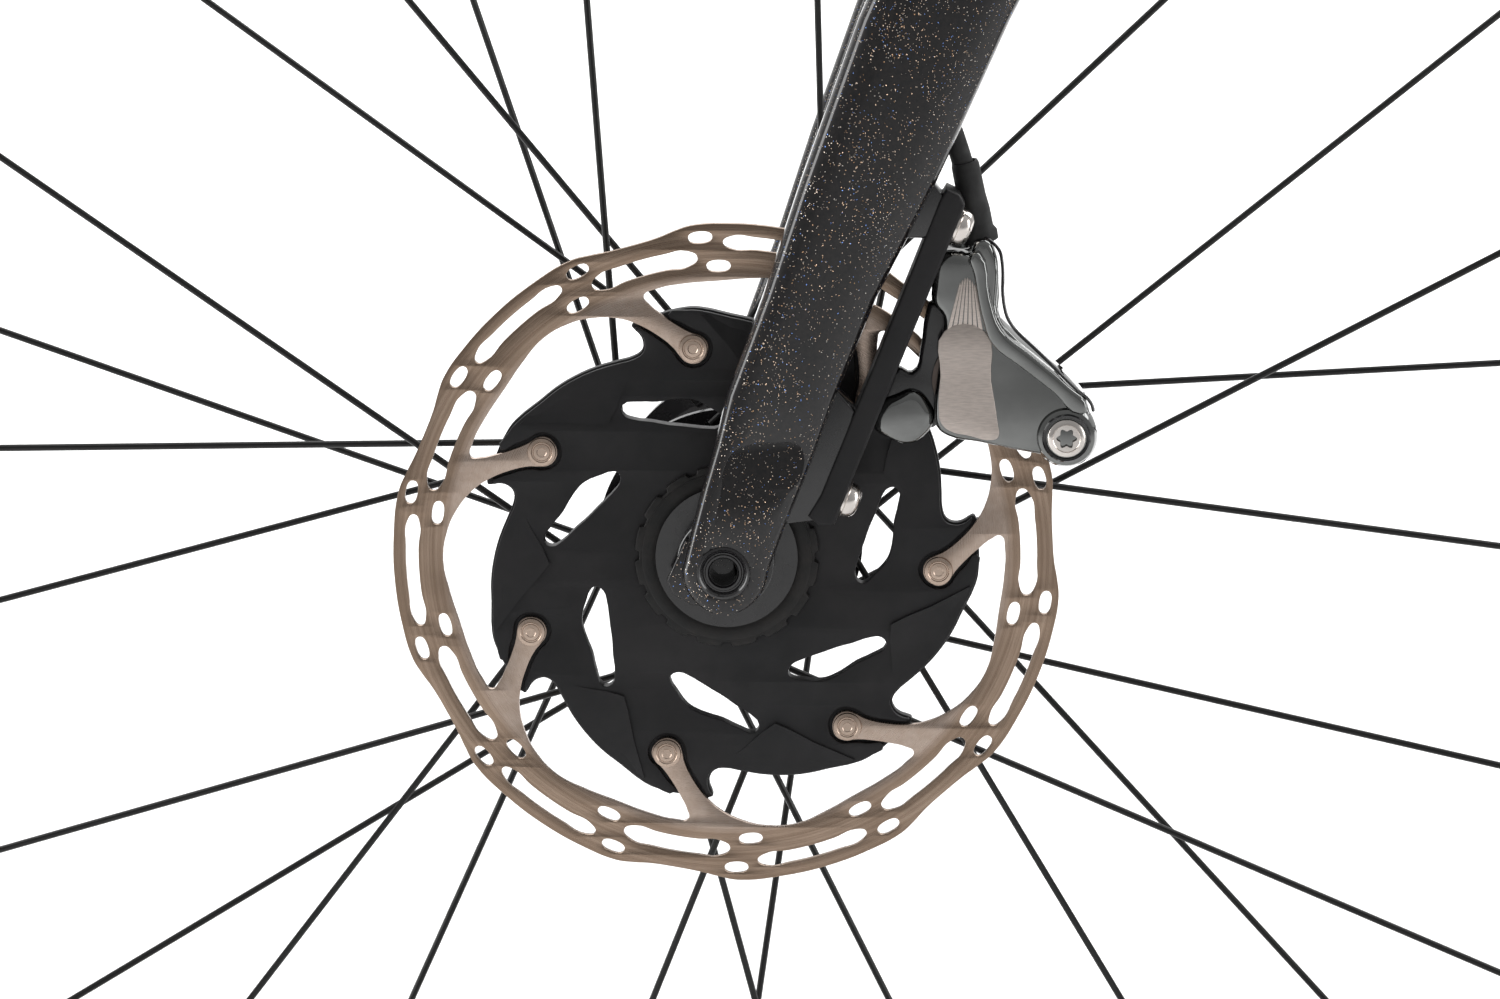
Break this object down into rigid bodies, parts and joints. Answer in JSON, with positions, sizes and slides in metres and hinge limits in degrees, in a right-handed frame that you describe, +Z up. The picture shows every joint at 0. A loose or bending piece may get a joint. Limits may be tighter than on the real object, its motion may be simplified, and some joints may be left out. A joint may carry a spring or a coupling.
{
  "type": "road bicycle",
  "caption": "Drop-bar road bicycle with black frame and fork, spoked deep-rim wheels, disc brakes, chain drive with derailleurs, saddle and taped handlebar.",
  "frame": {"origin": "on the ground, midway between the two axles, in the bicycle's middle plane", "axes": "+X forward, +Y to the rider's left, +Z up"},
  "size_m": [1.6638, 0.4454, 0.9875],
  "materials": {
    "gloss_black_paint": "glossy clear coat with fine flake",
    "matte_black_alloy": "matte anodised",
    "black_composite": "satin composite",
    "steel": "brushed",
    "bronze_steel": "brushed bronze tone",
    "dark_chrome": "polished dark",
    "silver": "satin",
    "black_rubber": "matte",
    "tyre_rubber": "matte",
    "saddle_leather": "satin synthetic",
    "grip_tape": "matte tape",
    "chain_steel": "plated",
    "pad_compound": "sintered"
  },
  "bodies": {
    "main_frame": {"frame": "gloss_black_paint", "derailleur_hanger": "matte_black_alloy", "headset_bearings": "steel", "seatpost_collar": "matte_black_alloy", "bottle_bosses": "silver", "bottom_bracket_cups": "matte_black_alloy", "front_derailleur": "black_composite", "rear_derailleur_body": "black_composite", "rear_derailleur_cage": "matte_black_alloy", "rear_caliper": "dark_chrome", "rear_caliper_fittings": "silver", "rear_axle": "matte_black_alloy", "chain": "chain_steel", "rear_hose": "black_rubber"},
    "saddle_and_post": {"seatpost": "black_composite", "saddle_clamp": "matte_black_alloy", "saddle_rails": "steel", "saddle_shell": "black_composite", "saddle_cover": "saddle_leather"},
    "steering": {"fork": "gloss_black_paint", "caliper_plate": "matte_black_alloy", "front_caliper": "dark_chrome", "front_caliper_fittings": "silver", "front_hose": "black_rubber", "front_axle": "matte_black_alloy", "steerer_spacers": "matte_black_alloy", "stem": "matte_black_alloy", "stem_faceplate": "matte_black_alloy", "stem_fasteners": "steel", "handlebar": "black_composite", "bar_tape": "grip_tape", "lever_hoods": "black_rubber"},
    "left_lever": {"brake_lever_left": "black_composite"},
    "right_lever": {"brake_lever_right": "black_composite"},
    "left_paddle": {"shift_paddle_left": "black_composite"},
    "right_paddle": {"shift_paddle_right": "black_composite"},
    "front_left_pad": {"front_pad_left": "pad_compound"},
    "front_right_pad": {"front_pad_right": "pad_compound"},
    "rear_left_pad": {"rear_pad_left": "pad_compound"},
    "rear_right_pad": {"rear_pad_right": "pad_compound"},
    "front_wheel": {"front_rim": "black_composite", "front_tyre": "tyre_rubber", "front_spokes": "steel", "front_hub": "matte_black_alloy", "front_rotor": "bronze_steel", "front_rotor_carrier": "matte_black_alloy", "front_lockring": "matte_black_alloy"},
    "rear_wheel": {"rear_rim": "black_composite", "rear_tyre": "tyre_rubber", "rear_spokes": "steel", "rear_hub": "matte_black_alloy", "rear_rotor": "bronze_steel", "rear_rotor_carrier": "matte_black_alloy"},
    "driver_and_cogs": {"cassette": "steel"},
    "cranks": {"crankset": "matte_black_alloy", "chainrings": "dark_chrome"},
    "left_pedal": {"pedal_left": "matte_black_alloy"},
    "right_pedal": {"pedal_right": "matte_black_alloy"},
    "upper_pulley": {"guide_pulley": "black_rubber"},
    "lower_pulley": {"tension_pulley": "black_rubber"}
  },
  "joints": [
    {"name": "steer", "type": "hinge", "parent": "main_frame", "child": "steering", "pos_m": [0.33811, 0, 0.68048], "axis": [-0.3007, 0, 0.9537], "range_deg": [-60, 60]},
    {"name": "seatpost_height", "type": "slide", "parent": "main_frame", "child": "saddle_and_post", "axis": [-0.284, 0, 0.9588], "range_m": [-0.06, 0.02]},
    {"name": "front_wheel_spin", "type": "hinge", "parent": "steering", "child": "front_wheel", "pos_m": [0.49297, 0, 0.339], "axis": [0, 1, 0], "continuous": true},
    {"name": "rear_wheel_spin", "type": "hinge", "parent": "main_frame", "child": "rear_wheel", "pos_m": [-0.49297, 0, 0.339], "axis": [0, 1, 0], "continuous": true},
    {"name": "crank_spin", "type": "hinge", "parent": "main_frame", "child": "cranks", "pos_m": [-0.08899, 0, 0.269], "axis": [0, 1, 0], "continuous": true},
    {"name": "pedal_left_spin", "type": "hinge", "parent": "cranks", "child": "left_pedal", "pos_m": [-0.26149, 0, 0.269], "axis": [0, 1, 0], "continuous": true},
    {"name": "pedal_right_spin", "type": "hinge", "parent": "cranks", "child": "right_pedal", "pos_m": [0.08351, 0, 0.269], "axis": [0, 1, 0], "continuous": true},
    {"name": "cassette_spin", "type": "hinge", "parent": "main_frame", "child": "driver_and_cogs", "pos_m": [-0.49297, 0, 0.339], "axis": [0, 1, 0], "continuous": true},
    {"name": "guide_pulley_spin", "type": "hinge", "parent": "main_frame", "child": "upper_pulley", "pos_m": [-0.47697, -0.04775, 0.263], "axis": [0, 1, 0], "continuous": true},
    {"name": "tension_pulley_spin", "type": "hinge", "parent": "main_frame", "child": "lower_pulley", "pos_m": [-0.45097, -0.04775, 0.193], "axis": [0, 1, 0], "continuous": true},
    {"name": "brake_lever_left_pull", "type": "hinge", "parent": "steering", "child": "left_lever", "pos_m": [0.52808, 0.202, 0.87095], "axis": [0, 1, 0], "range_deg": [0, 14], "stiffness_Nm_per_rad": 2, "springref_deg": -5.73},
    {"name": "brake_lever_right_pull", "type": "hinge", "parent": "steering", "child": "right_lever", "pos_m": [0.52808, -0.202, 0.87095], "axis": [0, 1, 0], "range_deg": [0, 14], "stiffness_Nm_per_rad": 2, "springref_deg": -5.73},
    {"name": "shift_paddle_left_push", "type": "hinge", "parent": "left_lever", "child": "left_paddle", "pos_m": [0.52158, 0.202, 0.84095], "axis": [0, 0, 1], "range_deg": [0, 8], "stiffness_Nm_per_rad": 0.05, "springref_deg": -11.46},
    {"name": "shift_paddle_right_push", "type": "hinge", "parent": "right_lever", "child": "right_paddle", "pos_m": [0.52158, -0.202, 0.84095], "axis": [0, 0, -1], "range_deg": [0, 8], "stiffness_Nm_per_rad": 0.05, "springref_deg": -11.46},
    {"name": "front_left_pad_slide", "type": "slide", "parent": "steering", "child": "front_left_pad", "axis": [0, -1, 0], "range_m": [0, 0.00041]},
    {"name": "front_right_pad_slide", "type": "slide", "parent": "steering", "child": "front_right_pad", "axis": [0, 1, 0], "range_m": [0, 0.00041]},
    {"name": "rear_left_pad_slide", "type": "slide", "parent": "main_frame", "child": "rear_left_pad", "axis": [0, -1, 0], "range_m": [0, 0.00041]},
    {"name": "rear_right_pad_slide", "type": "slide", "parent": "main_frame", "child": "rear_right_pad", "axis": [0, 1, 0], "range_m": [0, 0.00041]}
  ],
  "couplings": [
    {"joint": "cassette_spin", "follows": "crank_spin", "ratio": 3.2},
    {"joint": "guide_pulley_spin", "follows": "crank_spin", "ratio": -4},
    {"joint": "tension_pulley_spin", "follows": "crank_spin", "ratio": 4},
    {"joint": "front_left_pad_slide", "follows": "brake_lever_left_pull", "m_per_rad": 0.001637},
    {"joint": "front_right_pad_slide", "follows": "brake_lever_left_pull", "m_per_rad": 0.001637},
    {"joint": "rear_left_pad_slide", "follows": "brake_lever_right_pull", "m_per_rad": 0.001637},
    {"joint": "rear_right_pad_slide", "follows": "brake_lever_right_pull", "m_per_rad": 0.001637}
  ]
}
